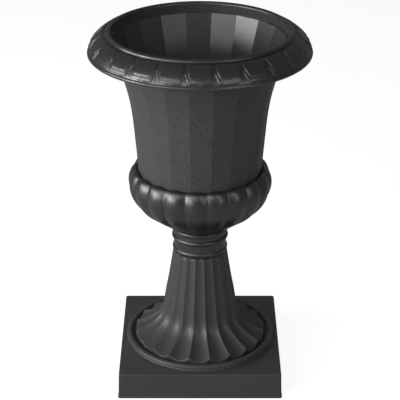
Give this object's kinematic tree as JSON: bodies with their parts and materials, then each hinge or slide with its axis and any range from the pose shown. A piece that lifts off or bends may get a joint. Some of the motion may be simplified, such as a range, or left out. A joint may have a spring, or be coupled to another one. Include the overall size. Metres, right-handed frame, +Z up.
{
  "type": "urn planter",
  "caption": "Classical urn planter: a faceted bell-shaped bowl with a rolled rim in a gadrooned cup, on a fluted pedestal with a square plinth.",
  "frame": {"origin": "centre of the square plinth's footprint, on the ground", "axes": "+Z up along the urn's centre line, -Y towards the front face of the plinth, +X to the right seen from the front"},
  "size_m": [0.248, 0.248, 0.416],
  "materials": {
    "bowl_plastic": "black moulded plastic, fine pebbled texture outside, smoother inside",
    "cup_plastic": "black moulded plastic, satin",
    "pedestal_plastic": "black moulded plastic, satin",
    "zinc_steel": "zinc plated",
    "seal_rubber": "smooth black rubber",
    "plug_rubber": "matt dark rubber"
  },
  "bodies": {
    "urn": {"plinth": "pedestal_plastic", "fluted_pedestal": "pedestal_plastic", "gadrooned_cup": "cup_plastic", "bell_bowl": "bowl_plastic", "clamp_bolt": "zinc_steel", "bolt_seal_washer": "seal_rubber", "bolt_head_washer": "zinc_steel", "wing_nut_washer": "zinc_steel", "wing_nut": "zinc_steel"},
    "plug_1": {"drain_plug_1": "plug_rubber"},
    "plug_2": {"drain_plug_2": "plug_rubber"},
    "plug_3": {"drain_plug_3": "plug_rubber"},
    "plug_4": {"drain_plug_4": "plug_rubber"}
  },
  "joints": [
    {"name": "plug_1_pull", "type": "slide", "parent": "urn", "child": "plug_1", "axis": [0, 0, 1], "range_m": [0, 0.22]},
    {"name": "plug_2_pull", "type": "slide", "parent": "urn", "child": "plug_2", "axis": [0, 0, 1], "range_m": [0, 0.22]},
    {"name": "plug_3_pull", "type": "slide", "parent": "urn", "child": "plug_3", "axis": [0, 0, 1], "range_m": [0, 0.22]},
    {"name": "plug_4_pull", "type": "slide", "parent": "urn", "child": "plug_4", "axis": [0, 0, 1], "range_m": [0, 0.22]}
  ]
}
